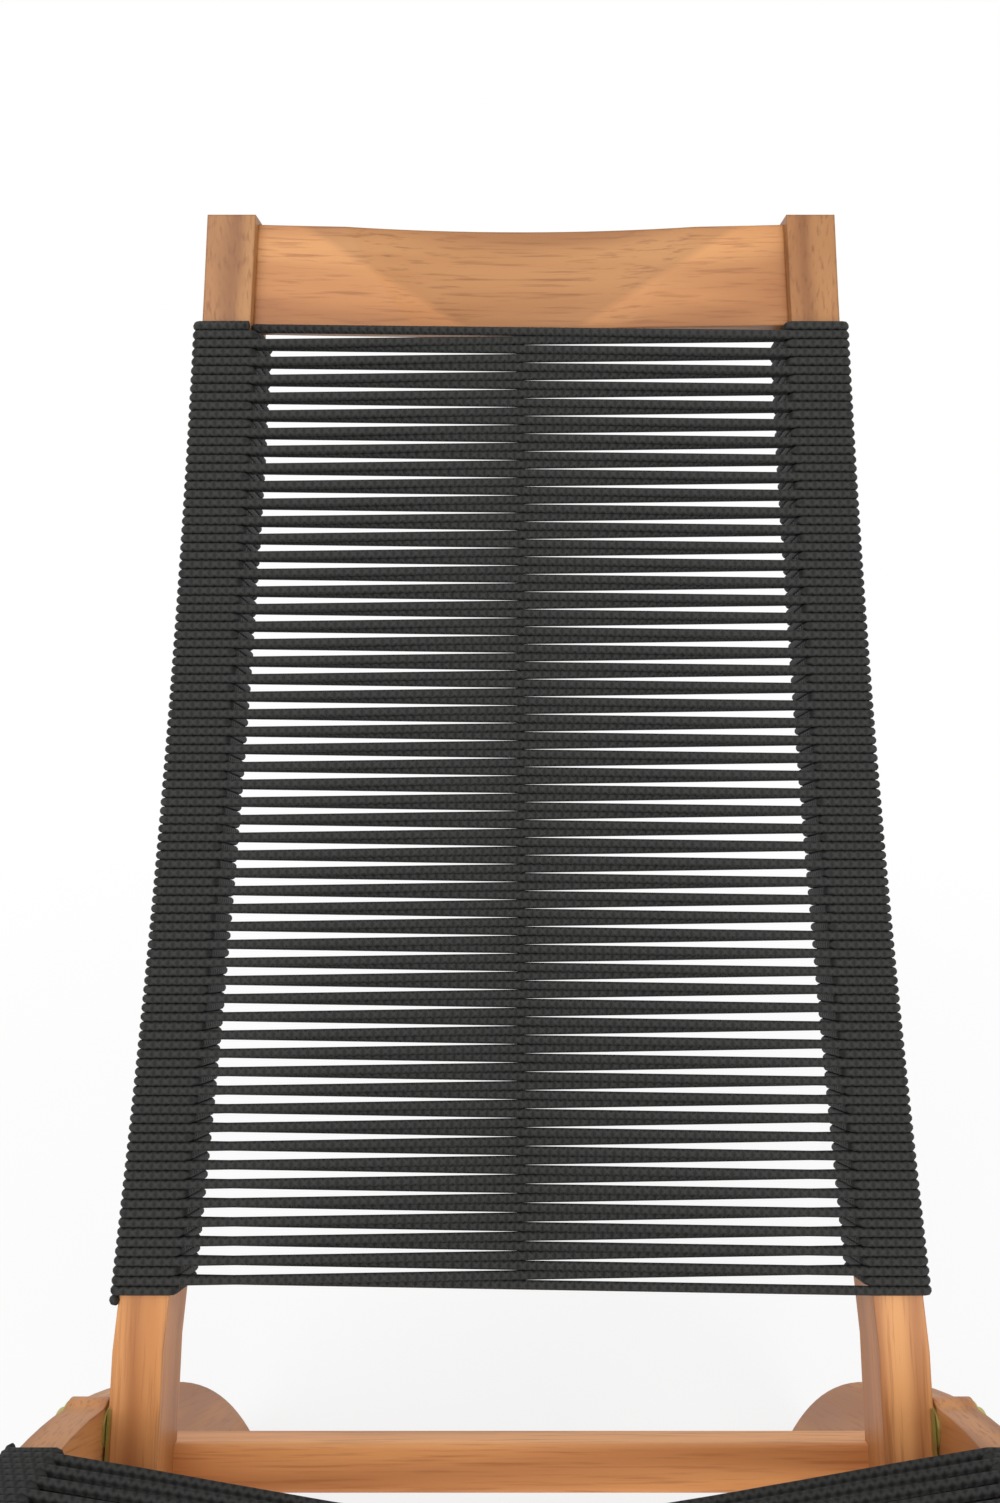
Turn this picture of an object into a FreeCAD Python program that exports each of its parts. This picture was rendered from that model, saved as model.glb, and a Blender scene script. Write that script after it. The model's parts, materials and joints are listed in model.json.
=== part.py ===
"""Folding lounge chair: a back frame and a seat frame cross on one hinge and carry wound rope."""
import FreeCAD
import Part
import math
import os
from FreeCAD import Placement, Rotation, Vector

# Rope, wound to and fro between the two side members of each frame
ROPE = 5.2
STRAND_PITCH = 2 * ROPE
BACK_STRANDS = 54
SEAT_STRANDS = 32
STRAND_TIE = 3.0

# Hinge line
PIVOT_HEIGHT = 335.0
BOLT_RADIUS = 4.0
RUNNING_GAP = 0.05
WOOD_GAP = 2.3
PLATE_THICKNESS = 2.5
PLATE_RECESS = 1.5
HOLE_GAP = 0.2
OVERCUT = 1.0

# Back frame: two bent stiles that run down past the hinge and end as the front legs
STILE_WIDTH = 28.0
STILE_DEPTH = 39.0
STILE_OUTER = 226.5
STILE_TOP = 688.0
STILE_SPLAY = 0.069
SPLAY_START = 40.0
BACK_RADIUS = 2500.0
LEG_RADIUS = 1600.0
RECLINE = math.radians(34.6)
PIVOT_SETBACK = 9.0
WRAP_START = 65.0

# Cross pieces of the back frame
RAIL_HEIGHT = 58.0
RAIL_THICKNESS = 20.0
RAIL_SETBACK = 7.0
RAIL_BELOW_TOP = 3.0
RAIL_BOW = 6.0
SCOOP_RADIUS = 600.0
SCOOP_DEPTH_TOP = 5.0
SCOOP_DEPTH_BOTTOM = 1.0
TENON_LENGTH = 16.0
TENON_THICKNESS = 10.0
TENON_SHOULDER = 9.0
STRETCHER_HEIGHT = 26.0
STRETCHER_DEPTH = 24.0
STRETCHER_NOTCH = 6.0
STRETCHER_BELOW_PIVOT = 30.0
STRETCHER_END_GAP = 2.0
LEG_RAIL_BELOW_PIVOT = 270.0
LEG_RAIL_HEIGHT = 40.0
LEG_RAIL_THICKNESS = 20.0

# Seat frame: two arched boards, flat under the sitter's thighs and falling to the rear feet
BOARD_THICKNESS = 22.0
BOARD_HEIGHT = 75.0
BOARD_RADIUS = 380.0
REAR_LEG_RADIUS = 920.0
BOARD_SLOPE = math.radians(42.0)
PIVOT_BELOW_TOP = 10.0
HUB_RADIUS = 14.0
HUB_BLEND = 12.0
SEAT_START = 76.0
SEAT_SAG = 30.0
BOARD_FRONT = 425.0

# Cross pieces of the seat frame
FRONT_RAIL_THICKNESS = 22.0
FRONT_RAIL_HEIGHT = 44.0
STOP_RAIL_DEPTH = 19.0
STOP_RAIL_HEIGHT = 24.0
STOP_RAIL_BELOW_PIVOT = 48.0
STOP_GAP = 0.4

# Hardware
STRAP_HALF_WIDTH = 11.0
STRAP_SETBACK = 0.5
STRAP_BELOW_PIVOT = 62.0
STRAP_SCREW_SPACING = 22.0
HUB_PLATE_RADIUS = 11.5
BUSH_WALL = 2.0
HEAD_RADIUS = 9.0
HEAD_HEIGHT = 5.0
WASHER_RADIUS = 12.0
WASHER_THICKNESS = 1.5
WASHER_GAP = 0.3
INSERT_RADIUS = 6.5
INSERT_COVER = 6.0
SCREW_RADIUS = 2.0
SCREW_HEAD_RADIUS = 4.0
SCREW_LENGTH = 16.0
CROSS_BOLT_RADIUS = 3.0
CROSS_BOLT_LENGTH = 42.0
CROSS_HEAD_RADIUS = 6.5
CROSS_HEAD_HEIGHT = 3.0
BARREL_RADIUS = 5.0
BARREL_LENGTH = 14.0
DOWEL_RADIUS = 4.0
DOWEL_DEPTH = 14.0
CROSS_SPACING = 6.0
GLIDE_THICKNESS = 3.0
GLIDE_MARGIN = 3.0
GLIDE_LENGTH = 34.0
EDGE_ROUND = 2.5

# Worked out from the sizes above; both legs are made overlong and sawn level
LEG_LENGTH = 1.5 * PIVOT_HEIGHT
BOARD_LEG = 1.6 * PIVOT_HEIGHT
STILE_INNER = STILE_OUTER - STILE_WIDTH
BOARD_INNER = STILE_OUTER + WOOD_GAP
BOARD_OUTER = BOARD_INNER + BOARD_THICKNESS
WRAP_END = WRAP_START + BACK_STRANDS * STRAND_PITCH
SEAT_END = SEAT_START + SEAT_STRANDS * STRAND_PITCH
RAIL_MIDDLE = STILE_TOP - RAIL_BELOW_TOP - RAIL_HEIGHT / 2
BUSH_RADIUS = BOLT_RADIUS + RUNNING_GAP + BUSH_WALL
PIVOT = Vector(0, 0, PIVOT_HEIGHT)
X_AXIS = Vector(1, 0, 0)
FAR = 1000.0
BACK_NORMAL = Vector(0, math.cos(RECLINE), -math.sin(RECLINE))
BACK_UP = Vector(0, math.sin(RECLINE), math.cos(RECLINE))
BACK_BASE = PIVOT - BACK_NORMAL * PIVOT_SETBACK
BOARD_NORMAL = Vector(0, math.sin(BOARD_SLOPE), math.cos(BOARD_SLOPE))
BOARD_TOP = PIVOT + BOARD_NORMAL * PIVOT_BELOW_TOP
SEAT_CENTRE = BOARD_TOP - BOARD_NORMAL * BOARD_RADIUS


def back_angle(length):
    """Recline of the stile at a length along its front face, up from the hinge."""
    radius = BACK_RADIUS if length >= 0 else LEG_RADIUS
    return RECLINE - length / radius


def back_point(length, depth):
    """Point of the stile's side view, at a depth behind its front face."""
    radius = BACK_RADIUS if length >= 0 else LEG_RADIUS
    centre = BACK_BASE - BACK_NORMAL * radius
    angle = back_angle(length)
    return centre + Vector(0, math.cos(angle), -math.sin(angle)) * (radius + depth)


def back_place(length, depth=0.0):
    """Frame on the stile: X across the chair, Y backwards into the stile, Z up along it."""
    return Placement(back_point(length, depth), Rotation(X_AXIS, -math.degrees(back_angle(length))))


def stile_shift(length):
    """How far the splay has brought the stile inwards at this length."""
    rise = BACK_RADIUS * math.sin(length / BACK_RADIUS)
    return STILE_SPLAY * max(0.0, rise - SPLAY_START)


def seat_angle(length):
    """Slope of the board's top edge at a length in front of the hinge."""
    radius = BOARD_RADIUS if length >= 0 else REAR_LEG_RADIUS
    return BOARD_SLOPE - length / radius


def seat_point(length, depth):
    """Point of the board's side view, at a depth below its top edge."""
    radius = BOARD_RADIUS if length >= 0 else REAR_LEG_RADIUS
    centre = BOARD_TOP - BOARD_NORMAL * radius
    angle = seat_angle(length)
    return centre + Vector(0, math.sin(angle), math.cos(angle)) * (radius - depth)


def seat_place(length, depth=0.0):
    """Frame on the board: X across the chair, Y backwards along it, Z out of its top edge."""
    return Placement(seat_point(length, depth), Rotation(X_AXIS, -math.degrees(seat_angle(length))))


def arc(point, start, end, depth):
    """Arc of a side view, from one length to another at one depth."""
    return Part.Arc(point(start, depth), point((start + end) / 2, depth), point(end, depth)).toShape()


def band(point, lengths, near, far, left, right):
    """Solid between two depths of a side view, from one X to another."""
    spans = list(zip(lengths, lengths[1:]))
    edges = [arc(point, a, b, near) for a, b in spans]
    edges.append(Part.makeLine(point(lengths[-1], near), point(lengths[-1], far)))
    edges += [arc(point, b, a, far) for a, b in reversed(spans)]
    edges.append(Part.makeLine(point(lengths[0], far), point(lengths[0], near)))
    face = Part.Face(Part.Wire(edges))
    face.translate(Vector(left, 0, 0))
    return face.extrude(Vector(right - left, 0, 0))


def block(place, x, y, z):
    """Box given by its low and high X, Y and Z in a local frame."""
    box = Part.makeBox(x[1] - x[0], y[1] - y[0], z[1] - z[0], Vector(x[0], y[0], z[0]))
    box.Placement = place
    return box


def rod(radius, start, end):
    """Round bar from one point to another."""
    return Part.makeCylinder(radius, (end - start).Length, start, end - start)


def across(radius, place, y, z, start, end):
    """Round bar along X at a place in a local frame."""
    centre = place.multVec(Vector(0, y, z))
    return rod(radius, Vector(start, centre.y, centre.z), Vector(end, centre.y, centre.z))


def mirrored(shape):
    """The same piece on the other side of the chair."""
    return shape.mirror(Vector(0, 0, 0), X_AXIS)


def in_front_view(inner, outer):
    """Column as the stile stands in the front view, from its inner to its outer X."""
    top = 2 * FAR
    lean = STILE_SPLAY * (top - SPLAY_START)
    corners = [(inner, -top), (outer, -top), (outer, SPLAY_START), (outer - lean, top),
               (inner - lean, top), (inner, SPLAY_START)]
    points = [BACK_BASE + X_AXIS * x + BACK_UP * z - BACK_NORMAL * FAR for x, z in corners]
    face = Part.Face(Part.makePolygon(points + points[:1]))
    return face.extrude(BACK_NORMAL * (2 * FAR))


def rounded(shape, radius, chosen):
    """Round the straight or curved edges that a test picks."""
    edges = [edge for edge in shape.Edges if chosen(edge)]
    return shape.makeFillet(radius, edges)


def above_floor(shape):
    """Saw a leg level, at the top of its glide."""
    return shape.cut(Part.makeBox(2 * FAR, 2 * FAR, FAR, Vector(-FAR, -FAR, GLIDE_THICKNESS - FAR)))


def tenon(place, side, outer, half_height):
    """Tongue at one end of a cross piece, into the stile."""
    ends = sorted((side * (outer - 0.001), side * (outer + TENON_LENGTH)))
    return block(place, ends, (-TENON_THICKNESS / 2, TENON_THICKNESS / 2), (-half_height, half_height))


def back_cross_pieces():
    """Top rail and leg rail, each with its two tenons."""
    inner = STILE_INNER - stile_shift(RAIL_MIDDLE)
    lean = STILE_SPLAY * RAIL_HEIGHT / 2
    place = back_place(RAIL_MIDDLE, RAIL_SETBACK + RAIL_THICKNESS / 2)
    half = RAIL_THICKNESS / 2
    edges = []
    for y, way in ((-half, 1), (half, -1)):
        reach = inner + lean
        points = [Vector(way * x, y + bow, 0) for x, bow in ((-reach, 0), (0, RAIL_BOW), (reach, 0))]
        edges.append(Part.Arc(*points).toShape())
        edges.append(Part.makeLine(points[2], Vector(way * reach, -y, 0)))
    rail = Part.Face(Part.Wire(edges)).extrude(Vector(0, 0, RAIL_HEIGHT))
    rail.translate(Vector(0, 0, -RAIL_HEIGHT / 2))
    axis_top = Vector(0, RAIL_BOW - half + SCOOP_DEPTH_TOP - SCOOP_RADIUS, RAIL_HEIGHT / 2)
    axis_low = Vector(0, RAIL_BOW - half + SCOOP_DEPTH_BOTTOM - SCOOP_RADIUS, -RAIL_HEIGHT / 2)
    along = axis_top - axis_low
    rail = rail.cut(rod(SCOOP_RADIUS, axis_low - along, axis_top + along))
    rail.Placement = place
    between = in_front_view(-FAR, STILE_INNER).common(mirrored(in_front_view(-FAR, STILE_INNER)))
    rail = rail.common(between)
    for side in (-1, 1):
        rail = rail.fuse(tenon(place, side, inner - lean, RAIL_HEIGHT / 2 - TENON_SHOULDER))
    leg_place = back_place(-LEG_RAIL_BELOW_PIVOT, STILE_DEPTH / 2)
    leg_rail = block(leg_place, (-STILE_INNER, STILE_INNER), (-LEG_RAIL_THICKNESS / 2, LEG_RAIL_THICKNESS / 2),
                     (-LEG_RAIL_HEIGHT / 2, LEG_RAIL_HEIGHT / 2))
    leg_rail = rounded(leg_rail, EDGE_ROUND, lambda edge: edge.Length > STILE_INNER)
    for side in (-1, 1):
        leg_rail = leg_rail.fuse(tenon(leg_place, side, STILE_INNER, LEG_RAIL_HEIGHT / 2 - TENON_SHOULDER))
    return rail.removeSplitter(), leg_rail.removeSplitter()


def back_stretcher():
    """Bar let into the rear of both stiles, just below the hinge."""
    place = back_place(-STRETCHER_BELOW_PIVOT, STILE_DEPTH - STRETCHER_NOTCH)
    reach = STILE_OUTER - STRETCHER_END_GAP
    return block(place, (-reach, reach), (0, STRETCHER_DEPTH), (-STRETCHER_HEIGHT / 2, STRETCHER_HEIGHT / 2))


def stretcher_screw(side):
    """Screw from the rear of the bar into one stile, with a flush head."""
    place = back_place(-STRETCHER_BELOW_PIVOT, STILE_DEPTH - STRETCHER_NOTCH)
    x = side * (STILE_OUTER - STILE_WIDTH / 2)
    tail = place.multVec(Vector(x, STRETCHER_DEPTH, 0))
    tip = place.multVec(Vector(x, -SCREW_LENGTH, 0))
    inward = (tip - tail).normalize()
    head = rod(SCREW_HEAD_RADIUS, tail, tail + inward * SCREW_RADIUS)
    return rod(SCREW_RADIUS, tail, tip).fuse(head)


def strap_plate(front):
    """Steel strap let into the outer face of the right stile, from a depth behind its front."""
    x = (STILE_OUTER - PLATE_RECESS, STILE_OUTER - PLATE_RECESS + PLATE_THICKNESS)
    y = (front, PIVOT_SETBACK + STRAP_HALF_WIDTH)
    return block(back_place(0), x, y, (-STRAP_BELOW_PIVOT, STRAP_HALF_WIDTH))


def strap_screws():
    """Two countersunk screws that hold the right strap."""
    place = back_place(0)
    face = STILE_OUTER - PLATE_RECESS + PLATE_THICKNESS
    screws = []
    for number in (1, 2):
        z = -STRAP_SCREW_SPACING * number - STRAP_HALF_WIDTH / 2
        shank = across(SCREW_RADIUS, place, STRAP_HALF_WIDTH, z, face - SCREW_LENGTH, face)
        centre = place.multVec(Vector(0, STRAP_HALF_WIDTH, z))
        cone = Part.makeCone(SCREW_RADIUS, SCREW_HEAD_RADIUS, SCREW_RADIUS,
                             Vector(face - SCREW_RADIUS, centre.y, centre.z), X_AXIS)
        screws.append(shank.fuse(cone))
    return screws


def at_pivot(radius, start, end):
    """Round bar along the hinge line."""
    return rod(radius, Vector(start, 0, PIVOT_HEIGHT), Vector(end, 0, PIVOT_HEIGHT))


def pivot_hardware():
    """Bolt, washer, threaded insert, hub plate and bush of the right hinge."""
    bolt_end = STILE_INNER + INSERT_COVER
    washer_seat = BOARD_OUTER + WASHER_GAP
    head_seat = washer_seat + WASHER_THICKNESS
    bolt = at_pivot(BOLT_RADIUS, bolt_end, head_seat)
    head = at_pivot(HEAD_RADIUS, head_seat, head_seat + HEAD_HEIGHT)
    head = rounded(head, HEAD_HEIGHT / 2, lambda edge: edge.BoundBox.XMin > head_seat + HEAD_HEIGHT / 2
                   and edge.BoundBox.XLength < HEAD_HEIGHT / 2)
    insert = at_pivot(INSERT_RADIUS, bolt_end, STILE_OUTER - PLATE_RECESS).cut(bolt)
    washer = at_pivot(WASHER_RADIUS, washer_seat, head_seat)
    washer = washer.cut(at_pivot(BOLT_RADIUS + HOLE_GAP, BOARD_OUTER - OVERCUT, head_seat + OVERCUT))
    plate_face = BOARD_INNER + PLATE_RECESS - PLATE_THICKNESS
    plate = at_pivot(HUB_PLATE_RADIUS, plate_face, BOARD_INNER + PLATE_RECESS)
    plate = plate.cut(at_pivot(BUSH_RADIUS, plate_face - OVERCUT, BOARD_OUTER))
    bush = at_pivot(BUSH_RADIUS, plate_face, BOARD_OUTER)
    bush = bush.cut(at_pivot(BOLT_RADIUS + RUNNING_GAP, plate_face - OVERCUT, BOARD_OUTER + OVERCUT))
    return bolt.fuse(head), washer, insert, plate, bush


def right_stile(rail, leg_rail, bar):
    """Right stile with its mortises, notch, strap recess and the blind bore of its insert."""
    side_view = band(back_point, (-LEG_LENGTH, 0, STILE_TOP), 0, STILE_DEPTH, -FAR, FAR)
    stile = above_floor(side_view.common(in_front_view(STILE_INNER, STILE_OUTER)))
    for tool in [rail, leg_rail, bar, strap_plate(-STILE_DEPTH), stretcher_screw(1)] + strap_screws():
        stile = stile.cut(tool)
    return stile.cut(at_pivot(INSERT_RADIUS, STILE_INNER + INSERT_COVER, STILE_OUTER + OVERCUT))


def right_back_wrap():
    """Rope sleeve round the right stile."""
    side_view = band(back_point, (WRAP_START, WRAP_END), -ROPE, STILE_DEPTH + ROPE, -FAR, FAR)
    sleeve = side_view.common(in_front_view(STILE_INNER - ROPE, STILE_OUTER + ROPE))
    core = band(back_point, (WRAP_START - OVERCUT, WRAP_END + OVERCUT), 0, STILE_DEPTH, -FAR, FAR)
    return sleeve.cut(core.common(in_front_view(STILE_INNER, STILE_OUTER)))


def slits(place, count, first, reach, depth):
    """Wedges between the strands, wide at the sides and closed in the middle."""
    tools = []
    for number in range(count):
        for side in (-1, 1):
            middle = first + STRAND_PITCH * (number + (0.5 if side < 0 else 1.0))
            if number == count - 1:
                continue
            edge = reach(middle) - STRAND_TIE
            local = place(middle)
            corners = [Vector(side * edge, -depth, -ROPE / 2), Vector(side * edge, -depth, ROPE / 2),
                       Vector(side * ROPE, -depth, 0)]
            corners = [local.multVec(corner) for corner in corners]
            face = Part.Face(Part.makePolygon(corners + corners[:1]))
            inward = local.Rotation.multVec(Vector(0, 2 * depth, 0))
            tools.append(face.extrude(inward))
    return tools


def back_rope_panel():
    """Strands of the back, to and fro between the two sleeves at the stiles' front faces."""
    reach = STILE_INNER - ROPE
    panel = band(back_point, (WRAP_START, WRAP_END), -ROPE, ROPE, -FAR, FAR)
    column = in_front_view(-FAR, reach)
    panel = panel.common(column).common(mirrored(column))
    cuts = slits(back_place, BACK_STRANDS, WRAP_START, lambda length: reach - stile_shift(length), STILE_DEPTH)
    return panel.cut(Part.makeCompound(cuts))


def seat_slit_place(length):
    """Frame for the seat's slits: Y down through the seat, Z forwards along the board."""
    angle = math.degrees(seat_angle(length))
    return Placement(seat_point(length, 0), Rotation(X_AXIS, -angle - 90))


def seat_rope_panel():
    """Strands of the seat, to and fro between the two sleeves, hanging lowest in the middle."""
    reach = BOARD_INNER - ROPE
    corners = [(-reach, -ROPE), (0, SEAT_SAG - ROPE), (reach, -ROPE), (reach, ROPE), (0, SEAT_SAG + ROPE),
               (-reach, ROPE)]
    points = [seat_point(SEAT_START, depth) + X_AXIS * x for x, depth in corners]
    face = Part.Face(Part.makePolygon(points + points[:1]))
    turn = math.degrees((SEAT_END - SEAT_START) / BOARD_RADIUS)
    panel = face.revolve(SEAT_CENTRE, X_AXIS, turn)
    cuts = slits(seat_slit_place, SEAT_STRANDS, SEAT_START, lambda length: reach, 2 * BOARD_HEIGHT)
    return panel.cut(Part.makeCompound(cuts))


def seat_cross_pieces():
    """Front rail of the seat, and the rail that stops the legs from spreading."""
    front_place = seat_place(BOARD_FRONT, BOARD_HEIGHT / 2)
    front = block(front_place, (-BOARD_INNER, BOARD_INNER), (-FRONT_RAIL_THICKNESS / 2, FRONT_RAIL_THICKNESS / 2),
                  (-FRONT_RAIL_HEIGHT / 2, FRONT_RAIL_HEIGHT / 2))
    stop_place = back_place(-STOP_RAIL_BELOW_PIVOT, -STOP_GAP - STOP_RAIL_DEPTH / 2)
    stop = block(stop_place, (-BOARD_INNER, BOARD_INNER), (-STOP_RAIL_DEPTH / 2, STOP_RAIL_DEPTH / 2),
                 (-STOP_RAIL_HEIGHT / 2, STOP_RAIL_HEIGHT / 2))
    return [(rounded(rail, EDGE_ROUND, lambda edge: edge.Length > BOARD_INNER), place)
            for rail, place in ((front, front_place), (stop, stop_place))]


def cross_fixings(place, side):
    """Bolt, barrel nut and dowel at one end of a seat cross piece."""
    outer = side * BOARD_OUTER
    inner = side * (BOARD_OUTER - CROSS_BOLT_LENGTH)
    bolt = across(CROSS_BOLT_RADIUS, place, 0, CROSS_SPACING, inner, outer)
    bolt = bolt.fuse(across(CROSS_HEAD_RADIUS, place, 0, CROSS_SPACING, outer, outer - side * CROSS_HEAD_HEIGHT))
    nut_x = inner + side * BARREL_RADIUS
    low = place.multVec(Vector(nut_x, -BARREL_LENGTH / 2, CROSS_SPACING))
    high = place.multVec(Vector(nut_x, BARREL_LENGTH / 2, CROSS_SPACING))
    barrel = rod(BARREL_RADIUS, low, high)
    dowel = across(DOWEL_RADIUS, place, 0, -CROSS_SPACING, side * (BOARD_INNER - DOWEL_DEPTH),
                   side * (BOARD_INNER + DOWEL_DEPTH))
    return bolt, barrel.cut(bolt), dowel


def hub_corner(edge):
    """True for the corners where the hub rises out of the board."""
    middle = edge.BoundBox.Center
    away = math.hypot(middle.y - PIVOT.y, middle.z - PIVOT.z)
    return edge.BoundBox.XLength > BOARD_THICKNESS / 2 and abs(away - HUB_RADIUS) < 0.1


def right_board(fixings, plate):
    """Right side board: arched seat rail and rear leg in one, with a hub round the hinge."""
    board = band(seat_point, (-BOARD_LEG, 0, BOARD_FRONT), 0, BOARD_HEIGHT, BOARD_INNER, BOARD_OUTER)
    nose = across(BOARD_HEIGHT / 2, seat_place(BOARD_FRONT, BOARD_HEIGHT / 2), 0, 0, BOARD_INNER, BOARD_OUTER)
    hub = at_pivot(HUB_RADIUS, BOARD_INNER, BOARD_OUTER)
    board = rounded(board.fuse(nose).fuse(hub).removeSplitter(), HUB_BLEND, hub_corner)
    board = above_floor(board)
    bore = at_pivot(BUSH_RADIUS, BOARD_INNER - OVERCUT, BOARD_OUTER + OVERCUT)
    for tool in fixings + [plate, bore]:
        board = board.cut(tool)
    return board


def right_seat_wrap():
    """Rope sleeve round the right side board."""
    sleeve = band(seat_point, (SEAT_START, SEAT_END), -ROPE, BOARD_HEIGHT + ROPE, BOARD_INNER - ROPE,
                  BOARD_OUTER + ROPE)
    core = band(seat_point, (SEAT_START - OVERCUT, SEAT_END + OVERCUT), 0, BOARD_HEIGHT, BOARD_INNER, BOARD_OUTER)
    return sleeve.cut(core)


def glide(leg, inner, outer):
    """Nylon glide under a right foot, centred where the leg meets the floor."""
    foot = leg.common(Part.makeBox(FAR, 2 * FAR, OVERCUT, Vector(0, -FAR, GLIDE_THICKNESS)))
    centre = foot.BoundBox.Center.y
    pad = Part.makeBox(outer - inner - 2 * GLIDE_MARGIN, GLIDE_LENGTH, GLIDE_THICKNESS,
                       Vector(inner + GLIDE_MARGIN, centre - GLIDE_LENGTH / 2, 0))
    return pad


def build():
    """All pieces of the chair, by node name."""
    nodes = {}

    def pair(name, right):
        nodes[name + "_right"] = right
        nodes[name + "_left"] = mirrored(right)

    rail, leg_rail = back_cross_pieces()
    bar = back_stretcher()
    stile = right_stile(rail, leg_rail, bar)
    screws = [stretcher_screw(side) for side in (-1, 1)]
    bar = rounded(bar, EDGE_ROUND, lambda edge: edge.Length > STILE_OUTER)
    bolt, washer, insert, plate, bush = pivot_hardware()
    strap = strap_plate(STRAP_SETBACK).cut(at_pivot(BOLT_RADIUS + HOLE_GAP, STILE_INNER, BOARD_INNER))
    pins = strap_screws()
    pair("stile", stile)
    nodes["top_rail"] = rail
    nodes["leg_rail"] = leg_rail
    nodes["back_stretcher"] = bar.cut(Part.makeCompound(screws))
    nodes["stretcher_screws"] = Part.makeCompound(screws)
    pair("back_wrap", right_back_wrap())
    nodes["back_rope_panel"] = back_rope_panel()
    pair("hinge_strap", strap.cut(Part.makeCompound(pins)))
    nodes["strap_screws"] = Part.makeCompound(pins + [mirrored(pin) for pin in pins])
    pair("pivot_bolt", bolt)
    pair("pivot_washer", washer)
    pair("pivot_insert", insert)
    pair("front_glide", glide(stile, STILE_INNER, STILE_OUTER))

    bolts, barrels, dowels, right_tools = [], [], [], []
    for name, (cross, place) in zip(("seat_front_rail", "seat_stop_rail"), seat_cross_pieces()):
        for side in (-1, 1):
            fixing = cross_fixings(place, side)
            cross = cross.cut(Part.makeCompound(list(fixing)))
            bolts.append(fixing[0])
            barrels.append(fixing[1])
            dowels.append(fixing[2])
            if side > 0:
                right_tools += [fixing[0], fixing[2]]
        nodes[name] = cross
    board = right_board(right_tools, plate)
    pair("side_board", board)
    pair("seat_wrap", right_seat_wrap())
    nodes["seat_rope_panel"] = seat_rope_panel()
    pair("hub_plate", plate)
    pair("pivot_bush", bush)
    nodes["cross_bolts"] = Part.makeCompound(bolts)
    nodes["barrel_nuts"] = Part.makeCompound(barrels)
    nodes["cross_dowels"] = Part.makeCompound(dowels)
    pair("rear_glide", glide(board, BOARD_INNER, BOARD_OUTER))
    return nodes


def main():
    nodes = build()
    box = Part.makeCompound(list(nodes.values())).optimalBoundingBox(False, False)
    centre = Vector(0, -(box.YMin + box.YMax) / 2, 0)
    os.makedirs("parts", exist_ok=True)
    for name, shape in nodes.items():
        shape.translate(centre)
        shape.exportStep(os.path.join("parts", name + ".step"))
        print(name, len(shape.Solids), shape.isValid(), round(shape.Volume / 1000, 1))
    print("hinge at", round(PIVOT.y + centre.y, 3), PIVOT.z)
    print("size", round(box.XLength, 1), round(box.YLength, 1), round(box.ZLength, 1), "low", round(box.ZMin, 3))


main()
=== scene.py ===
"""Dress the folding rope chair: wound black rope, oiled hardwood, zinc fittings and a white studio."""
import json
import math

import bmesh
import bpy
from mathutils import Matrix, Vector


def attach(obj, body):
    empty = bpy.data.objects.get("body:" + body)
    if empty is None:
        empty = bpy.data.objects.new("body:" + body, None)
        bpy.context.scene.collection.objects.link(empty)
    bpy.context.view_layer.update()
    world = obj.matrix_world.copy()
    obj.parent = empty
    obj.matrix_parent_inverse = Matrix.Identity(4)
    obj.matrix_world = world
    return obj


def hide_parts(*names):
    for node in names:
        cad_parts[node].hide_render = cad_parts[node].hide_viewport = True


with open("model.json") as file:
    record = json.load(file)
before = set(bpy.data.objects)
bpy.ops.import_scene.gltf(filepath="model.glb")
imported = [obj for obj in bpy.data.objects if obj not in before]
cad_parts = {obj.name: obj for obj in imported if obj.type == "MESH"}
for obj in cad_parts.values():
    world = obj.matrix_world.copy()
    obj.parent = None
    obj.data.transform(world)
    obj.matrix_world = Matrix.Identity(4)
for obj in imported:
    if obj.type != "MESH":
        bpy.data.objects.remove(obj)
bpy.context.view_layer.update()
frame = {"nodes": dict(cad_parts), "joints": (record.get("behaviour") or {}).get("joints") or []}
NODES = frame["nodes"]
HINGE = Vector(frame["joints"][0]["pos_m"])

bl_info = {
    "name": "Folding rope chair",
    "version": (1, 0, 0),
    "blender": (4, 5, 0),
    "location": "View3D > Sidebar > Rope chair",
    "description": "Winds the rope of the folding chair and finishes its wood and fittings",
    "category": "Object",
}

# Turn of the grain in side view, in radians
STILE_LEAN = -0.967
BOARD_LEAN = 0.80

# Lean of each piece's grain, none for a piece across the chair, then its painted light and shade: a
# brightness at the hinge and at the top
WOOD_NODES = {
    "stile_left": (STILE_LEAN, 1.16, 0.64),
    "stile_right": (STILE_LEAN, 1.16, 0.64),
    "side_board_left": (BOARD_LEAN, 1.12, 1.12),
    "side_board_right": (BOARD_LEAN, 1.12, 1.12),
    "top_rail": (None, 0.78, 0.78),
    "leg_rail": (None, 1.0, 1.0),
    "back_stretcher": (None, 1.55, 1.55),
    "seat_front_rail": (None, 1.0, 1.0),
    "seat_stop_rail": (None, 1.2, 1.2),
    "cross_dowels": (None, 1.0, 1.0),
}

# Heights, near the hinge and near the top, between which a piece's painted light and shade changes
HINGE_LEVEL = 0.35
TOP_LEVEL = 0.95

# Shift of the grain from one piece to the next, and how closely figure and pores lie along it and across it
GRAIN_SHIFT = Vector((0.37, 0.259, 0.481))
FIGURE_SCALE = (1.6, 22.0, 22.0)
PORE_SCALE = (18.0, 520.0, 520.0)

# How sharply a dark streak stands out, and the share of dark wood in a streak and in a pore
STREAK_SHARPNESS = 2.0
STREAK_SHARE = 0.6
PORE_SHARE = 0.62

# Hollow of the top rail: height of its lower edge, half width there, widening per unit of height, softness of
# its border, and how much paler painted light makes the flats beside it
RAIL_LEVEL = 0.892
HOLLOW_HALF_WIDTH = 0.035
HOLLOW_FLARE = 1.7
FLAT_BLEND = 0.004
FLAT_PAINTED_LIGHT = 0.2

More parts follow.
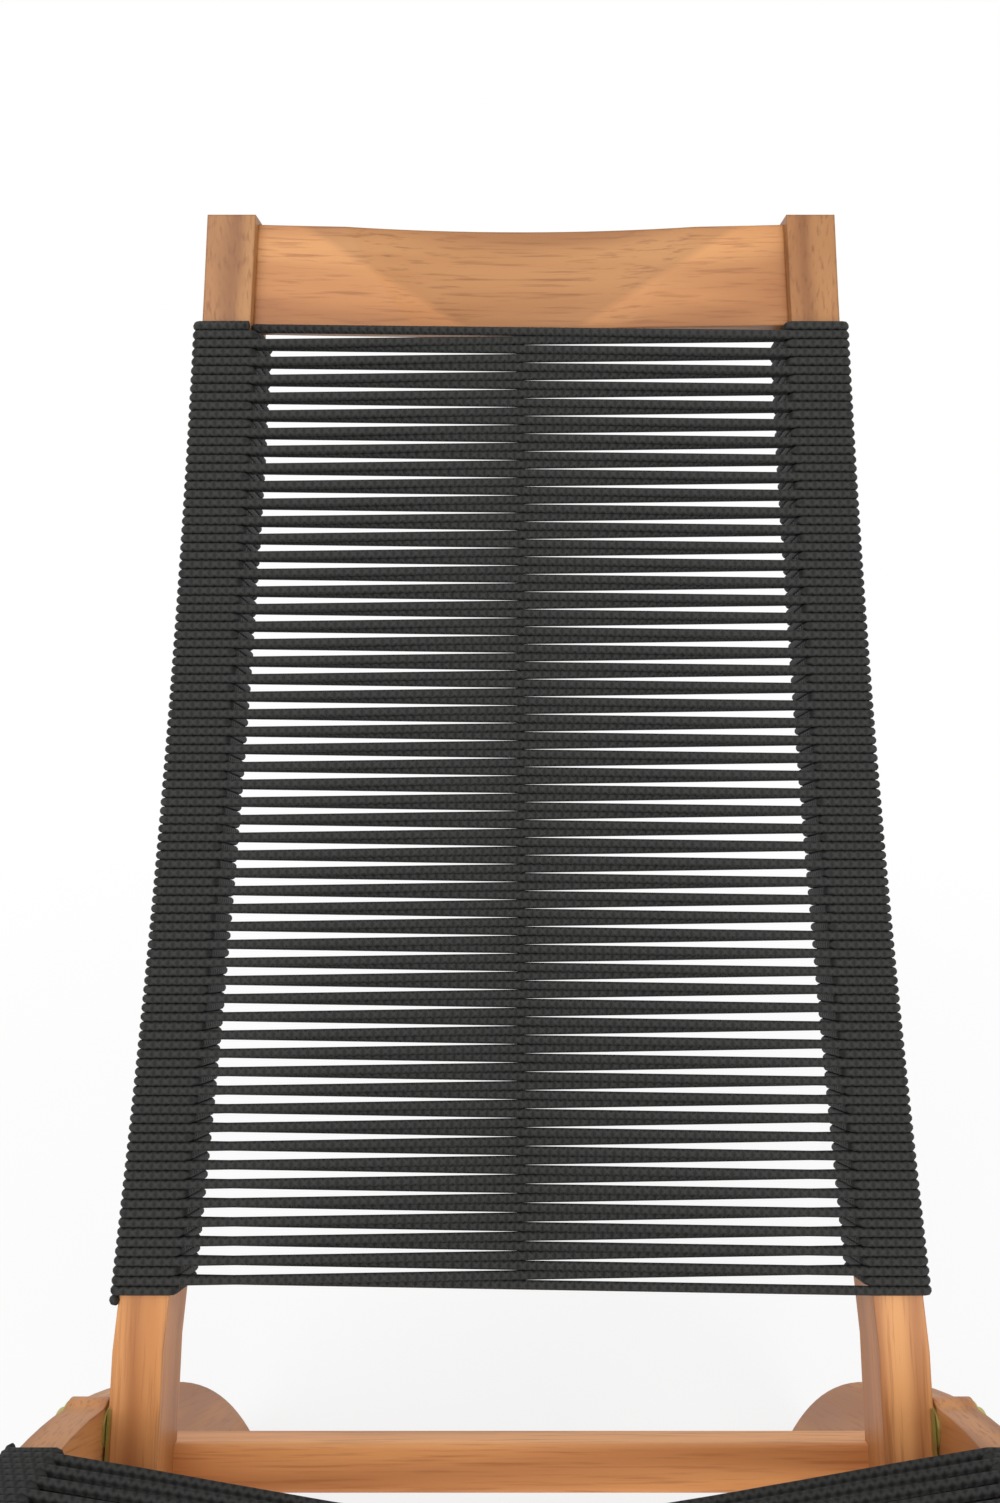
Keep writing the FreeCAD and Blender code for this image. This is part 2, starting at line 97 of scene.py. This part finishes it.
ZINC_NODES = (
    "stretcher_screws", "hinge_strap_left", "hinge_strap_right", "strap_screws", "pivot_bolt_left",
    "pivot_bolt_right", "pivot_washer_left", "pivot_washer_right", "pivot_insert_left", "pivot_insert_right",
    "hub_plate_left", "hub_plate_right", "cross_bolts", "barrel_nuts",
)
GLIDE_NODES = ("front_glide_left", "front_glide_right", "rear_glide_left", "rear_glide_right")
BUSH_NODES = ("pivot_bush_left", "pivot_bush_right")

# Drift of the plating and of the nylon's grain, as shares of their colours
ZINC_DRIFT = (0.92, 0.95, 0.8)
NYLON_PALE = 1.25

# Braid: yarns each way round the rope, share of loose fibre in its shade, and the painted shade in the
# grooves and painted highlight on the crowns
YARNS_EACH_WAY = 2
FIBRE_SHARE = 0.25
GROOVE_PAINTED_SHADE = 0.20
CROWN_PAINTED_HIGHLIGHT = 1.7

# The chair's two sides, and how far the rope has climbed at each, as a share of the pitch
SIDES = ((-1, 0.0), (1, 0.5))

# Climb at the four corners of the two turns round a member, as a share of the pitch
CLIMB = ((0.0, 0.0, 0.25, 0.5), (0.5, 0.5, 0.75, 0.98))

# Points at a corner, their reach from it as a share of the rope's radius, and how far in the middle one lies
CORNER_POINTS = 3
CORNER_REACH = 0.9
ARC_MIDDLE = 0.29

# Points cut from the rope's last turn, which ends at a rear corner, and points of the tail's one turn
CUT_POINTS = 2 * CORNER_POINTS
TAIL_POINTS = 3 * CORNER_POINTS

# Steps of a hanging strand, and the rounding of its lowest place
SAG_STEPS = 10
SAG_ROUNDING = 0.16

# Soft boxes: place and width
KEY_PLACE = (-1.1, -1.6, 2.4)
KEY_WIDTH = 1.6
FILL_PLACE = (0.6, -1.7, 1.1)
FILL_WIDTH = 1.2

# Floor: its paint, the share of plain white under the chair, and the distances where white grows and is full
WHITE = (1.0, 1.0, 1.0, 1.0)
FLOOR_PAINT = (0.94, 0.94, 0.94, 1.0)
WHITE_SHARE = 0.7
WHITE_START = 0.3
WHITE_FULL = 1.5

SENSOR_HEIGHT = 36.0


class RopeSettings(bpy.types.PropertyGroup):
    """The rope and how it is wound."""

    diameter: bpy.props.FloatProperty(
        name="Rope diameter", description="Thickness of the braided rope", default=0.0052, unit="LENGTH")
    sides: bpy.props.IntProperty(
        name="Rope sides", description="Roundness of the rope", default=10, min=6, max=24)
    back_strands: bpy.props.IntProperty(
        name="Back strands", description="Crossings each way on the back", default=54)
    seat_strands: bpy.props.IntProperty(
        name="Seat strands", description="Crossings each way on the seat", default=32)
    seat_sag: bpy.props.FloatProperty(
        name="Seat sag", description="How far the seat hangs in the middle", default=0.03, unit="LENGTH")
    plait: bpy.props.FloatProperty(
        name="Plait length", description="Length of one plait of the braid", default=0.0052, unit="LENGTH")
    colour: bpy.props.FloatVectorProperty(
        name="Rope colour", description="Colour of the yarn", default=(0.019, 0.0187, 0.018),
        subtype="COLOR", size=3)


class FrameSettings(bpy.types.PropertyGroup):
    """Sizes of the wooden members that the rope follows."""

    stile_inner: bpy.props.FloatProperty(
        name="Stile inner face", description="Distance from the middle", default=0.1985, unit="LENGTH")
    stile_outer: bpy.props.FloatProperty(
        name="Stile outer face", description="Distance from the middle", default=0.2265, unit="LENGTH")
    stile_depth: bpy.props.FloatProperty(
        name="Stile depth", description="Front to rear", default=0.039, unit="LENGTH")
    stile_splay: bpy.props.FloatProperty(
        name="Stile splay", description="Inward lean per unit of height", default=0.069)
    splay_start: bpy.props.FloatProperty(
        name="Splay start", description="Height of the bend above the hinge", default=0.04, unit="LENGTH")
    back_radius: bpy.props.FloatProperty(
        name="Back radius", description="Curve of the stiles", default=2.5, unit="LENGTH")
    recline: bpy.props.FloatProperty(
        name="Recline", description="Lean of the stiles at the hinge", default=math.radians(34.6),
        subtype="ANGLE")
    setback: bpy.props.FloatProperty(
        name="Hinge setback", description="Hinge behind the stile's front", default=0.009, unit="LENGTH")
    back_start: bpy.props.FloatProperty(
        name="Back rope start", description="Along the stile from the hinge", default=0.065, unit="LENGTH")
    board_inner: bpy.props.FloatProperty(
        name="Board inner face", description="Distance from the middle", default=0.2288, unit="LENGTH")
    board_outer: bpy.props.FloatProperty(
        name="Board outer face", description="Distance from the middle", default=0.2508, unit="LENGTH")
    board_height: bpy.props.FloatProperty(
        name="Board height", description="Top to bottom edge", default=0.075, unit="LENGTH")
    board_radius: bpy.props.FloatProperty(
        name="Board radius", description="Curve of the top edge", default=0.38, unit="LENGTH")
    board_slope: bpy.props.FloatProperty(
        name="Board slope", description="Slope at the hinge", default=math.radians(42.0), subtype="ANGLE")
    board_rise: bpy.props.FloatProperty(
        name="Board rise", description="Top edge above the hinge", default=0.01, unit="LENGTH")
    seat_start: bpy.props.FloatProperty(
        name="Seat rope start", description="Along the board from the hinge", default=0.076, unit="LENGTH")


class FinishSettings(bpy.types.PropertyGroup):
    """Colours of the wood and the fittings."""

    wood_pale: bpy.props.FloatVectorProperty(
        name="Pale wood", description="Early wood", default=(0.60, 0.285, 0.105), subtype="COLOR", size=3)
    wood_middle: bpy.props.FloatVectorProperty(
        name="Middle wood", description="Main wood", default=(0.46, 0.188, 0.060), subtype="COLOR", size=3)
    wood_dark: bpy.props.FloatVectorProperty(
        name="Dark wood", description="Late wood", default=(0.26, 0.090, 0.028), subtype="COLOR", size=3)
    soft_edge: bpy.props.FloatProperty(
        name="Soft edge", description="Rounding that catches the light", default=0.0018, unit="LENGTH")
    zinc: bpy.props.FloatVectorProperty(
        name="Zinc", description="Yellow zinc plating", default=(0.52, 0.46, 0.16), subtype="COLOR", size=3)
    glide: bpy.props.FloatVectorProperty(
        name="Glide", description="Nylon under the feet", default=(0.03, 0.03, 0.03), subtype="COLOR", size=3)
    bush: bpy.props.FloatVectorProperty(
        name="Bush", description="Nylon in the hinge", default=(0.72, 0.70, 0.64), subtype="COLOR", size=3)


class StudioSettings(bpy.types.PropertyGroup):
    """Camera and light."""

    camera_back: bpy.props.FloatProperty(
        name="Camera distance", description="In front of the hinge", default=0.464, unit="LENGTH")
    camera_rise: bpy.props.FloatProperty(
        name="Camera rise", description="Above the hinge", default=0.607, unit="LENGTH")
    camera_pitch: bpy.props.FloatProperty(
        name="Camera pitch", description="Downward tilt", default=math.radians(23.3), subtype="ANGLE")
    lens: bpy.props.FloatProperty(
        name="Lens", description="Focal length in millimetres", default=28.74)
    shift: bpy.props.FloatProperty(
        name="Shift", description="Sideways shift of the frame", default=-0.014)
    sky: bpy.props.FloatProperty(
        name="Sky", description="Strength of the even light", default=0.75)
    key: bpy.props.FloatProperty(
        name="Key light", description="Power of the main lamp", default=26.0, unit="POWER")
    fill: bpy.props.FloatProperty(
        name="Fill light", description="Power of the side lamp", default=16.0, unit="POWER")
    floor: bpy.props.FloatProperty(
        name="Floor size", description="Width of the studio floor", default=14.0, unit="LENGTH")


class Wire:
    """A shader value that takes part in plain sums."""

    def __init__(self, tree, socket=None):
        self.tree = tree
        self.socket = socket

    def feed(self, node, inputs):
        """Set or join the inputs of a node."""
        for name, value in inputs.items():
            if isinstance(value, Wire):
                self.tree.links.new(value.socket, node.inputs[name])
            else:
                node.inputs[name].default_value = value

    def node(self, kind, inputs, output=0, **settings):
        """Add a node, set it up, feed it, and give back one of its outputs."""
        made = self.tree.nodes.new(kind)
        for name, value in settings.items():
            setattr(made, name, value)
        self.feed(made, inputs)
        return Wire(self.tree, made.outputs[output])

    def beside(self, output):
        """Another output of the node that this value comes from."""
        return Wire(self.tree, self.socket.node.outputs[output])

    def sum(self, operation, other=0.0):
        """Work this value and another out in a Math node."""
        return self.node("ShaderNodeMath", {0: self, 1: other}, operation=operation)

    def __add__(self, other):
        return self.sum("ADD", other)

    def __sub__(self, other):
        return self.sum("SUBTRACT", other)

    def __rsub__(self, other):
        return self.node("ShaderNodeMath", {0: other, 1: self}, operation="SUBTRACT")

    def __mul__(self, other):
        return self.sum("MULTIPLY", other)

    __radd__ = __add__
    __rmul__ = __mul__

    def between(self, low, high):
        """Lead from one value to another by this share."""
        return self * (high - low) + low

    def mix(self, low, high):
        """Blend two colours by this value."""
        return self.node("ShaderNodeMix", {0: self, 6: low, 7: high}, 2, data_type="RGBA")


def rgba(colour, share=1.0):
    """A colour for a socket, made darker or paler by a share."""
    return (*(min(1.0, part * share) for part in colour), 1.0)


def new_material(name):
    """A material, its principled shader and the wire that adds nodes to it."""
    material = bpy.data.materials.new(name)
    material.use_nodes = True
    tree = material.node_tree
    return material, tree.nodes["Principled BSDF"], Wire(tree)


def rail_flats_painted_light_mask(make, place):
    """Mask of the flats beside the top rail's hollow, which narrows downwards, where painted light makes the
    wood paler.
    """
    across = make.node("ShaderNodeSeparateXYZ", {"Vector": place}, "X")
    height = across.beside("Z")
    beyond = across.sum("ABSOLUTE") - (HOLLOW_HALF_WIDTH + HOLLOW_FLARE * (height - RAIL_LEVEL))
    return make.node("ShaderNodeMapRange", {"Value": beyond, "From Min": -FLAT_BLEND, "From Max": FLAT_BLEND})


def oiled_wood(node, number):
    """Oiled reddish hardwood with its grain along a member: across the chair, or leaning in side view."""
    lean, hinge_painted_light, top_painted_light = WOOD_NODES[node]
    finish = bpy.context.scene.chair_finish
    material, shader, make = new_material("oiled_" + node)
    place = make.node("ShaderNodeTexCoord", {}, "Object")
    turned = place
    if lean is not None:
        turned = make.node("ShaderNodeMapping", {"Vector": place, "Rotation": (lean, 0.0, 0.0)})
        turned = make.node("ShaderNodeMapping", {"Vector": turned, "Rotation": (0.0, 0.0, -math.pi / 2)})
    shifted = make.node("ShaderNodeMapping", {"Vector": turned, "Location": GRAIN_SHIFT * number})
    wide = make.node("ShaderNodeMapping", {"Vector": shifted, "Scale": FIGURE_SCALE})
    fine = make.node("ShaderNodeMapping", {"Vector": shifted, "Scale": PORE_SCALE})
    figure = make.node("ShaderNodeTexNoise", {"Vector": wide, "Scale": 1.0, "Detail": 6.0, "Distortion": 1.1})
    bands = make.node("ShaderNodeTexWave", {"Vector": wide, "Scale": 0.55, "Distortion": 9.0, "Detail": 3.0},
                      bands_direction="Y")
    pores = make.node("ShaderNodeTexNoise", {"Vector": fine, "Scale": 1.0, "Detail": 3.0})
    tone = make.node("ShaderNodeMapRange", {"Value": figure, "From Min": 0.34, "From Max": 0.66})
    streak = bands.sum("POWER", STREAK_SHARPNESS) * STREAK_SHARE
    speck = make.node("ShaderNodeMapRange", {"Value": pores, "From Min": 0.52, "From Max": 0.72})
    base = tone.mix(rgba(finish.wood_middle), rgba(finish.wood_pale))
    base = streak.mix(base, rgba(finish.wood_dark))
    base = (speck * PORE_SHARE).mix(base, rgba(finish.wood_dark))
    # Painted light and shade: the wood is made brighter or darker for each piece, and from the hinge to the
    # top
    height = make.node("ShaderNodeSeparateXYZ", {"Vector": place}, "Z")
    level = make.node("ShaderNodeMapRange", {"Value": height, "From Min": HINGE_LEVEL, "From Max": TOP_LEVEL,
                                             "To Min": hinge_painted_light, "To Max": top_painted_light})
    # Painted light: the flats beside the top rail's hollow are made paler
    if node == "top_rail":
        level = level + rail_flats_painted_light_mask(make, place) * FLAT_PAINTED_LIGHT
    base = make.node("ShaderNodeVectorMath", {0: base, "Scale": level}, operation="SCALE")
    edge = make.node("ShaderNodeBevel", {"Radius": finish.soft_edge}, samples=6)
    bump = make.node("ShaderNodeBump", {"Strength": 0.22, "Distance": 0.0006, "Height": pores,
                                        "Normal": edge})
    make.feed(shader, {"Base Color": base, "Roughness": tone.between(0.40, 0.50), "Normal": bump,
                       "Specular IOR Level": 0.42})
    return material


def braided_rope():
    """Black braided rope: plaits follow the rope's own length and girth, with painted shade in their grooves
    and painted highlight on their crowns.
    """
    rope = bpy.context.scene.chair_rope
    material, shader, make = new_material("black_braid")
    marks = make.node("ShaderNodeTexCoord", {}, "UV")
    metres = make.node("ShaderNodeSeparateXYZ", {"Vector": marks}, "X")
    along = metres * (2.0 * math.pi / rope.plait)
    around = metres.beside("Y") * (2.0 * math.pi * YARNS_EACH_WAY)
    left = (along + around).sum("SINE")
    right = (along - around).sum("SINE")
    # The waves run from -1 to 1, the plait from 0 to 1
    plait = left.sum("MAXIMUM", right) * 0.5 + 0.5
    place = make.node("ShaderNodeTexCoord", {}, "Object")
    fibre = make.node("ShaderNodeTexNoise", {"Vector": place, "Scale": 900.0, "Detail": 2.0})
    shade = plait * (1.0 - FIBRE_SHARE) + fibre * FIBRE_SHARE
    # Painted shade in the braid's grooves and painted highlight on its crowns, with the fibre's random tone
    base = shade.mix(rgba(rope.colour, GROOVE_PAINTED_SHADE), rgba(rope.colour, CROWN_PAINTED_HIGHLIGHT))
    bump = make.node("ShaderNodeBump", {"Strength": 0.9, "Distance": 0.0007, "Height": shade})
    make.feed(shader, {"Base Color": base, "Roughness": fibre.between(0.62, 0.82), "Normal": bump,
                       "Specular IOR Level": 0.30})
    return material


def plated_zinc():
    """Yellow zinc on steel, with a faint drift of its colour."""
    finish = bpy.context.scene.chair_finish
    material, shader, make = new_material("yellow_zinc")
    place = make.node("ShaderNodeTexCoord", {}, "Object")
    drift = make.node("ShaderNodeTexNoise", {"Vector": place, "Scale": 60.0, "Detail": 3.0})
    drawn = make.node("ShaderNodeMapping", {"Vector": place, "Scale": (2500.0, 120.0, 120.0)})
    scratch = make.node("ShaderNodeTexNoise", {"Vector": drawn, "Scale": 1.0})
    tint = rgba(part * share for part, share in zip(finish.zinc, ZINC_DRIFT))
    make.feed(shader, {"Base Color": drift.mix(rgba(finish.zinc), tint), "Metallic": 0.85,
                       "Roughness": scratch.between(0.28, 0.48)})
    return material


def moulded_nylon(name, colour):
    """Matt nylon with a fine moulded texture."""
    material, shader, make = new_material(name)
    place = make.node("ShaderNodeTexCoord", {}, "Object")
    grain = make.node("ShaderNodeTexNoise", {"Vector": place, "Scale": 1400.0, "Detail": 2.0})
    base = grain.mix(rgba(colour), rgba(colour, NYLON_PALE))
    bump = make.node("ShaderNodeBump", {"Strength": 0.25, "Distance": 0.0002, "Height": grain})
    make.feed(shader, {"Base Color": base, "Roughness": grain.between(0.45, 0.60), "Normal": bump})
    return material


def coat(node, material):
    """Give a CAD node one material."""
    slots = NODES[node].data.materials
    slots.clear()
    slots.append(material)


class BackMember:
    """The stiles as the rope sees them: sections along their length from the hinge."""

    def __init__(self, sizes):
        self.sizes = sizes
        self.depth = sizes.stile_depth
        rearward = Vector((0, math.cos(sizes.recline), -math.sin(sizes.recline)))
        self.centre = HINGE - rearward * (sizes.setback + sizes.back_radius)

    def inner_outer(self, length):
        """Distances of the inner and outer face from the middle."""
        rise = self.sizes.back_radius * math.sin(length / self.sizes.back_radius)
        shift = self.sizes.stile_splay * max(0.0, rise - self.sizes.splay_start)
        return self.sizes.stile_inner - shift, self.sizes.stile_outer - shift

    def point(self, x, length, depth):
        """Place of a point given across the chair, along the stile and behind its front."""
        angle = self.sizes.recline - length / self.sizes.back_radius
        away = self.sizes.back_radius + depth
        return self.centre + Vector((x, away * math.cos(angle), -away * math.sin(angle)))


class SeatMember:
    """The side boards as the rope sees them: sections along their length from the hinge."""

    def __init__(self, sizes):
        self.sizes = sizes
        self.depth = sizes.board_height
        slope = sizes.board_slope
        up = Vector((0, math.sin(slope), math.cos(slope)))
        self.centre = HINGE - up * (sizes.board_radius - sizes.board_rise)

    def inner_outer(self, length):
        """Distances of the inner and outer face from the middle, the same all along."""
        return self.sizes.board_inner, self.sizes.board_outer

    def point(self, x, length, depth):
        """Place of a point given across the chair, along the board and below its top."""
        angle = self.sizes.board_slope - length / self.sizes.board_radius
        away = self.sizes.board_radius - depth
        return self.centre + Vector((x, away * math.sin(angle), away * math.cos(angle)))


def ring(member, side, length, radius):
    """Corners of one turn round a member: outer front, outer rear, inner rear, inner front."""
    inner, outer = member.inner_outer(length)
    low = side * (inner - radius)
    high = side * (outer + radius)
    rear = member.depth + radius
    return [Vector((high, -radius)), Vector((high, rear)), Vector((low, rear)), Vector((low, -radius))]


def turns(member, side, start, pitch, radius):
    """Two turns of rope round a member, level in front and climbing at the rear."""
    reach = radius * CORNER_REACH
    steps = []
    for climb in CLIMB:
        for number, share in enumerate(climb):
            length = start + pitch * share
            corners = ring(member, side, length, radius)
            here = corners[number]
            back = (corners[number - 1] - here).normalized() * reach
            ahead = (corners[(number + 1) % len(corners)] - here).normalized() * reach
            steps.append((here + back, length))
            steps.append((here + (back + ahead) * ARC_MIDDLE, length))
            steps.append((here + ahead, length))
    # The rope leaves from the last corner behind the strand that arrives there
    steps[-CORNER_POINTS:] = [(Vector((here.x, radius)), length)]
    return [member.point(place.x, length, place.y) for place, length in steps]


def crossing(member, first, last, sag):
    """Points of one strand between its ends, hanging lowest in the middle."""
    if not sag:
        return []
    points = []
    for step in range(1, SAG_STEPS):
        share = step / SAG_STEPS
        x, length, depth = (near + (far - near) * share for near, far in zip(first, last))
        bend = max(0.0, 1.0 - math.hypot(2.0 * share - 1.0, SAG_ROUNDING))
        points.append(member.point(x, length, depth + sag * bend / (1.0 - SAG_ROUNDING)))
    return points


def winding(member, start, strands, radius, sag):
    """Runs of rope: one wound to and fro between the two sides with two turns on each, and its tail."""
    # Rows are measured at the rope's middle, so the first and the last lie a radius inside the wound length
    pitch = 2.0 * radius * (len(CLIMB) * strands - 1) / strands
    base = start + radius
    rise = pitch * CLIMB[-1][-1]
    points = []
    ends = None
    for number in range(strands):
        for side, lag in SIDES:
            row = base + pitch * (number + lag)
            inner = member.inner_outer(row)[0]
            arrive = (side * inner, row, -radius)
            if ends is not None:
                points += crossing(member, ends, arrive, sag)
                points.append(member.point(*arrive))
            points += turns(member, side, row, pitch, radius)
            ends = (side * (inner - radius), row + rise, radius)
    top = base + pitch * strands
    first = SIDES[0][0]
    tail = [member.point(first * member.inner_outer(top)[0], top, -radius)]
    tail += turns(member, first, top, 0.0, radius)[:TAIL_POINTS]
    return [points[:-CUT_POINTS], tail]


def rope_rings(points, radius, sides):
    """Corners of the rope's skin, ring by ring, without twist from one ring to the next."""
    rings = []
    out = Vector((0, 0, 1))
    for number, place in enumerate(points):
        before = points[max(number - 1, 0)]
        after = points[min(number + 1, len(points) - 1)]
        along = (place - before).normalized() + (after - place).normalized()
        along.normalize()
        out = (out - along * out.dot(along)).normalized()
        aside = along.cross(out)
        for side in range(sides):
            turn = 2.0 * math.pi * side / sides
            rings.append(place + (out * math.cos(turn) + aside * math.sin(turn)) * radius)
    return rings


def rope_skin(points, first, sides):
    """Faces of one run of rope, and their UV marks: metres along it and share of a turn around it."""
    faces = []
    marks = []
    along = 0.0
    for number, (place, after) in enumerate(zip(points, points[1:])):
        reach = along + (after - place).length
        low = first + number * sides
        for side in range(sides):
            spin = (side + 1) % sides
            faces.append((low + side, low + spin, low + sides + spin, low + sides + side))
            near, far = side / sides, (side + 1) / sides
            marks += [(along, near), (along, far), (reach, far), (reach, near)]
        along = reach
    last = first + (len(points) - 1) * sides
    for cap, spot in ((range(first + sides - 1, first - 1, -1), 0.0), (range(last, last + sides), along)):
        faces.append(tuple(cap))
        marks += [(spot, 0.0)] * sides
    return faces, marks


def rope_piece(name, runs, radius, sides, material):
    """One mesh of all runs of a rope."""
    corners, faces, marks = [], [], []
    for points in runs:
        more_faces, more_marks = rope_skin(points, len(corners), sides)
        corners += rope_rings(points, radius, sides)
        faces += more_faces
        marks += more_marks
    mesh = bpy.data.meshes.new(name)
    mesh.from_pydata(corners, [], faces)
    layer = mesh.uv_layers.new(name="rope")
    for spot, mark in zip(layer.data, marks):
        spot.uv = mark
    mesh.materials.append(material)
    mesh.shade_smooth()
    piece = bpy.data.objects.new(name, mesh)
    bpy.context.scene.collection.objects.link(piece)
    return piece


def wound_rope(name, member, start, strands, sag=0.0):
    """The rope of one panel, wound on a pair of members."""
    rope = bpy.context.scene.chair_rope
    radius = rope.diameter / 2.0
    runs = winding(member, start, strands, radius, sag)
    return rope_piece(name, runs, radius, rope.sides, braided_rope())


class CHAIR_OT_back_rope(bpy.types.Operator):
    """Wind the rope of the back"""

    bl_idname = "chair.back_rope"
    bl_label = "Wind back rope"

    def execute(self, context):
        rope = context.scene.chair_rope
        sizes = context.scene.chair_frame
        piece = wound_rope("back_rope", BackMember(sizes), sizes.back_start, rope.back_strands)
        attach(piece, "back_frame")
        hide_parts("back_wrap_left", "back_wrap_right", "back_rope_panel")
        return {"FINISHED"}


class CHAIR_OT_seat_rope(bpy.types.Operator):
    """Wind the rope of the seat"""

    bl_idname = "chair.seat_rope"
    bl_label = "Wind seat rope"

    def execute(self, context):
        rope = context.scene.chair_rope
        sizes = context.scene.chair_frame
        piece = wound_rope("seat_rope", SeatMember(sizes), sizes.seat_start, rope.seat_strands, rope.seat_sag)
        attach(piece, "seat_frame")
        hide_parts("seat_wrap_left", "seat_wrap_right", "seat_rope_panel")
        return {"FINISHED"}


class CHAIR_OT_wood(bpy.types.Operator):
    """Oil the wooden members"""

    bl_idname = "chair.wood"
    bl_label = "Oil the wood"

    def execute(self, context):
        for number, node in enumerate(WOOD_NODES, 1):
            coat(node, oiled_wood(node, number))
        return {"FINISHED"}


class CHAIR_OT_fittings(bpy.types.Operator):
    """Finish the hinge, the screws and the glides"""

    bl_idname = "chair.fittings"
    bl_label = "Finish fittings"

    def execute(self, context):
        finish = context.scene.chair_finish
        glide = moulded_nylon("glide_nylon", finish.glide)
        bush = moulded_nylon("bush_nylon", finish.bush)
        for nodes, material in ((ZINC_NODES, plated_zinc()), (GLIDE_NODES, glide), (BUSH_NODES, bush)):
            for node in nodes:
                coat(node, material)
        return {"FINISHED"}


class CHAIR_OT_studio(bpy.types.Operator):
    """Set up the floor, the lamps and the camera"""

    bl_idname = "chair.studio"
    bl_label = "Set up studio"

    def execute(self, context):
        scene = context.scene
        studio = scene.chair_studio
        scene.view_settings.view_transform = "Standard"
        self.floor(scene, studio.floor)
        self.sky(scene, studio.sky)
        self.lamp(scene, "key_lamp", KEY_PLACE, KEY_WIDTH, studio.key)
        self.lamp(scene, "fill_lamp", FILL_PLACE, FILL_WIDTH, studio.fill)
        self.camera(scene, studio)
        return {"FINISHED"}

    def floor(self, scene, width):
        """A square floor that keeps the shadow."""
        shape = bmesh.new()
        bmesh.ops.create_grid(shape, x_segments=1, y_segments=1, size=width / 2.0)
        mesh = bpy.data.meshes.new("studio_floor")
        shape.to_mesh(mesh)
        shape.free()
        mesh.materials.append(self.floor_paint())
        floor = bpy.data.objects.new("studio_floor", mesh)
        scene.collection.objects.link(floor)

    def floor_paint(self):
        """White paint that looks white to the camera, more so with distance, and still takes the shadow."""
        material, shader, make = new_material("studio_white")
        make.feed(shader, {"Base Color": FLOOR_PAINT, "Roughness": 0.9})
        seen = make.node("ShaderNodeLightPath", {}, "Is Camera Ray")
        place = make.node("ShaderNodeTexCoord", {}, "Object")
        away = make.node("ShaderNodeVectorMath", {0: place}, "Value", operation="LENGTH")
        share = make.node("ShaderNodeMapRange", {"Value": away, "From Min": WHITE_START,
                                                 "From Max": WHITE_FULL, "To Min": WHITE_SHARE})
        paint = Wire(make.tree, shader.outputs["BSDF"])
        glow = make.node("ShaderNodeEmission", {"Color": WHITE, "Strength": 1.0})
        blend = make.node("ShaderNodeMixShader", {0: seen * share, 1: paint, 2: glow})
        make.feed(make.tree.nodes["Material Output"], {"Surface": blend})
        return material

    def sky(self, scene, strength):
        """Even white light, at full white where the camera or a reflection sees it."""
        world = bpy.data.worlds.new("studio_sky")
        world.use_nodes = True
        scene.world = world
        make = Wire(world.node_tree)
        camera = make.node("ShaderNodeLightPath", {}, "Is Camera Ray")
        seen = camera.sum("MAXIMUM", camera.beside("Is Glossy Ray"))
        seen = seen.sum("MAXIMUM", camera.beside("Is Transmission Ray"))
        make.feed(make.tree.nodes["Background"], {"Color": WHITE, "Strength": seen.between(strength, 1.0)})

    def lamp(self, scene, name, place, width, power):
        """A square soft box aimed at the hinge."""
        lamp = bpy.data.lights.new(name, "AREA")
        lamp.size = width
        lamp.energy = power
        holder = bpy.data.objects.new(name, lamp)
        holder.location = place
        holder.rotation_euler = (HINGE - Vector(place)).to_track_quat("-Z", "Y").to_euler()
        scene.collection.objects.link(holder)

    def camera(self, scene, studio):
        """The photo's camera, in front of the hinge and looking down."""
        camera = bpy.data.objects.new("photo_camera", bpy.data.cameras.new("photo_camera"))
        camera.data.sensor_fit = "VERTICAL"
        camera.data.sensor_height = SENSOR_HEIGHT
        camera.data.lens = studio.lens
        camera.data.shift_x = studio.shift
        camera.location = HINGE + Vector((0.0, -studio.camera_back, studio.camera_rise))
        camera.rotation_euler = (math.pi / 2 - studio.camera_pitch, 0.0, 0.0)
        scene.collection.objects.link(camera)
        scene.camera = camera


class CHAIR_PT_panel(bpy.types.Panel):
    """The chair's steps in the sidebar"""

    bl_idname = "CHAIR_PT_panel"
    bl_label = "Rope chair"
    bl_space_type = "VIEW_3D"
    bl_region_type = "UI"
    bl_category = "Rope chair"

    def draw(self, context):
        for operator in OPERATORS:
            self.layout.operator(operator.bl_idname)


GROUPS = {"chair_rope": RopeSettings, "chair_frame": FrameSettings, "chair_finish": FinishSettings,
          "chair_studio": StudioSettings}
OPERATORS = (CHAIR_OT_wood, CHAIR_OT_fittings, CHAIR_OT_back_rope, CHAIR_OT_seat_rope, CHAIR_OT_studio)


def register():
    for group in (*GROUPS.values(), *OPERATORS, CHAIR_PT_panel):
        bpy.utils.register_class(group)
    for name, group in GROUPS.items():
        setattr(bpy.types.Scene, name, bpy.props.PointerProperty(type=group))


def unregister():
    for name in GROUPS:
        delattr(bpy.types.Scene, name)
    for group in (CHAIR_PT_panel, *reversed(OPERATORS), *reversed(GROUPS.values())):
        bpy.utils.unregister_class(group)


def main():
    """Dress the chair."""
    register()
    bpy.ops.chair.wood()
    bpy.ops.chair.fittings()
    bpy.ops.chair.back_rope()
    bpy.ops.chair.seat_rope()
    bpy.ops.chair.studio()


if __name__ == "__main__":
    main()
